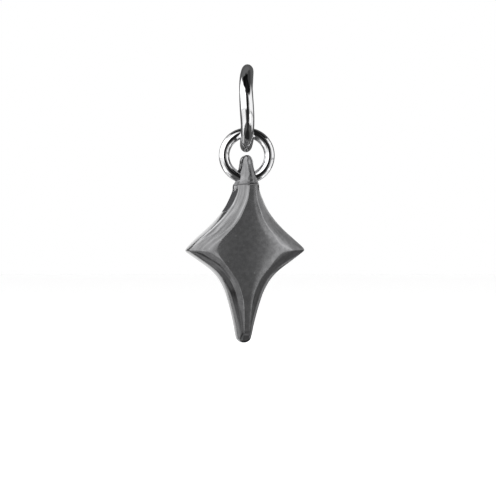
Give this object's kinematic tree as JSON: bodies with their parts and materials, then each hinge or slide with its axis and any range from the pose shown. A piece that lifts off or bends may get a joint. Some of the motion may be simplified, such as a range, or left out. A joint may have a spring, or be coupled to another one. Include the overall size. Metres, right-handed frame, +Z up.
{
  "type": "star charm on a jump ring and a round bail",
  "caption": "Puffed four-pointed star charm with a long lower point, hanging by its neck from a jump ring on a round bail.",
  "frame": {"origin": "inner top of the bail, where a chain or cord carries the charm", "axes": "+Z up, the bail lies in the YZ plane, the jump ring in the XZ plane, and the star's front faces -Y turned 12 degrees towards +X"},
  "size_m": [0.0128, 0.0094, 0.03],
  "materials": {
    "bright_plate": "bright polished plate over metal wire",
    "dark_plate": "polished dark grey plate over cast metal"
  },
  "bodies": {
    "bail": {"bail": "bright_plate"},
    "jump_ring": {"jump_ring": "bright_plate"},
    "star": {"star": "dark_plate"}
  },
  "joints": [
    {"name": "ring_swing", "type": "hinge", "parent": "bail", "child": "jump_ring", "pos_m": [0, 0, -0.00727], "axis": [0, 1, 0], "range_deg": [-90, 90]},
    {"name": "star_swing", "type": "hinge", "parent": "jump_ring", "child": "star", "pos_m": [-0.0001, 0, -0.01103], "axis": [0.978, 0.2079, -0.0175], "range_deg": [-80, 80]}
  ]
}
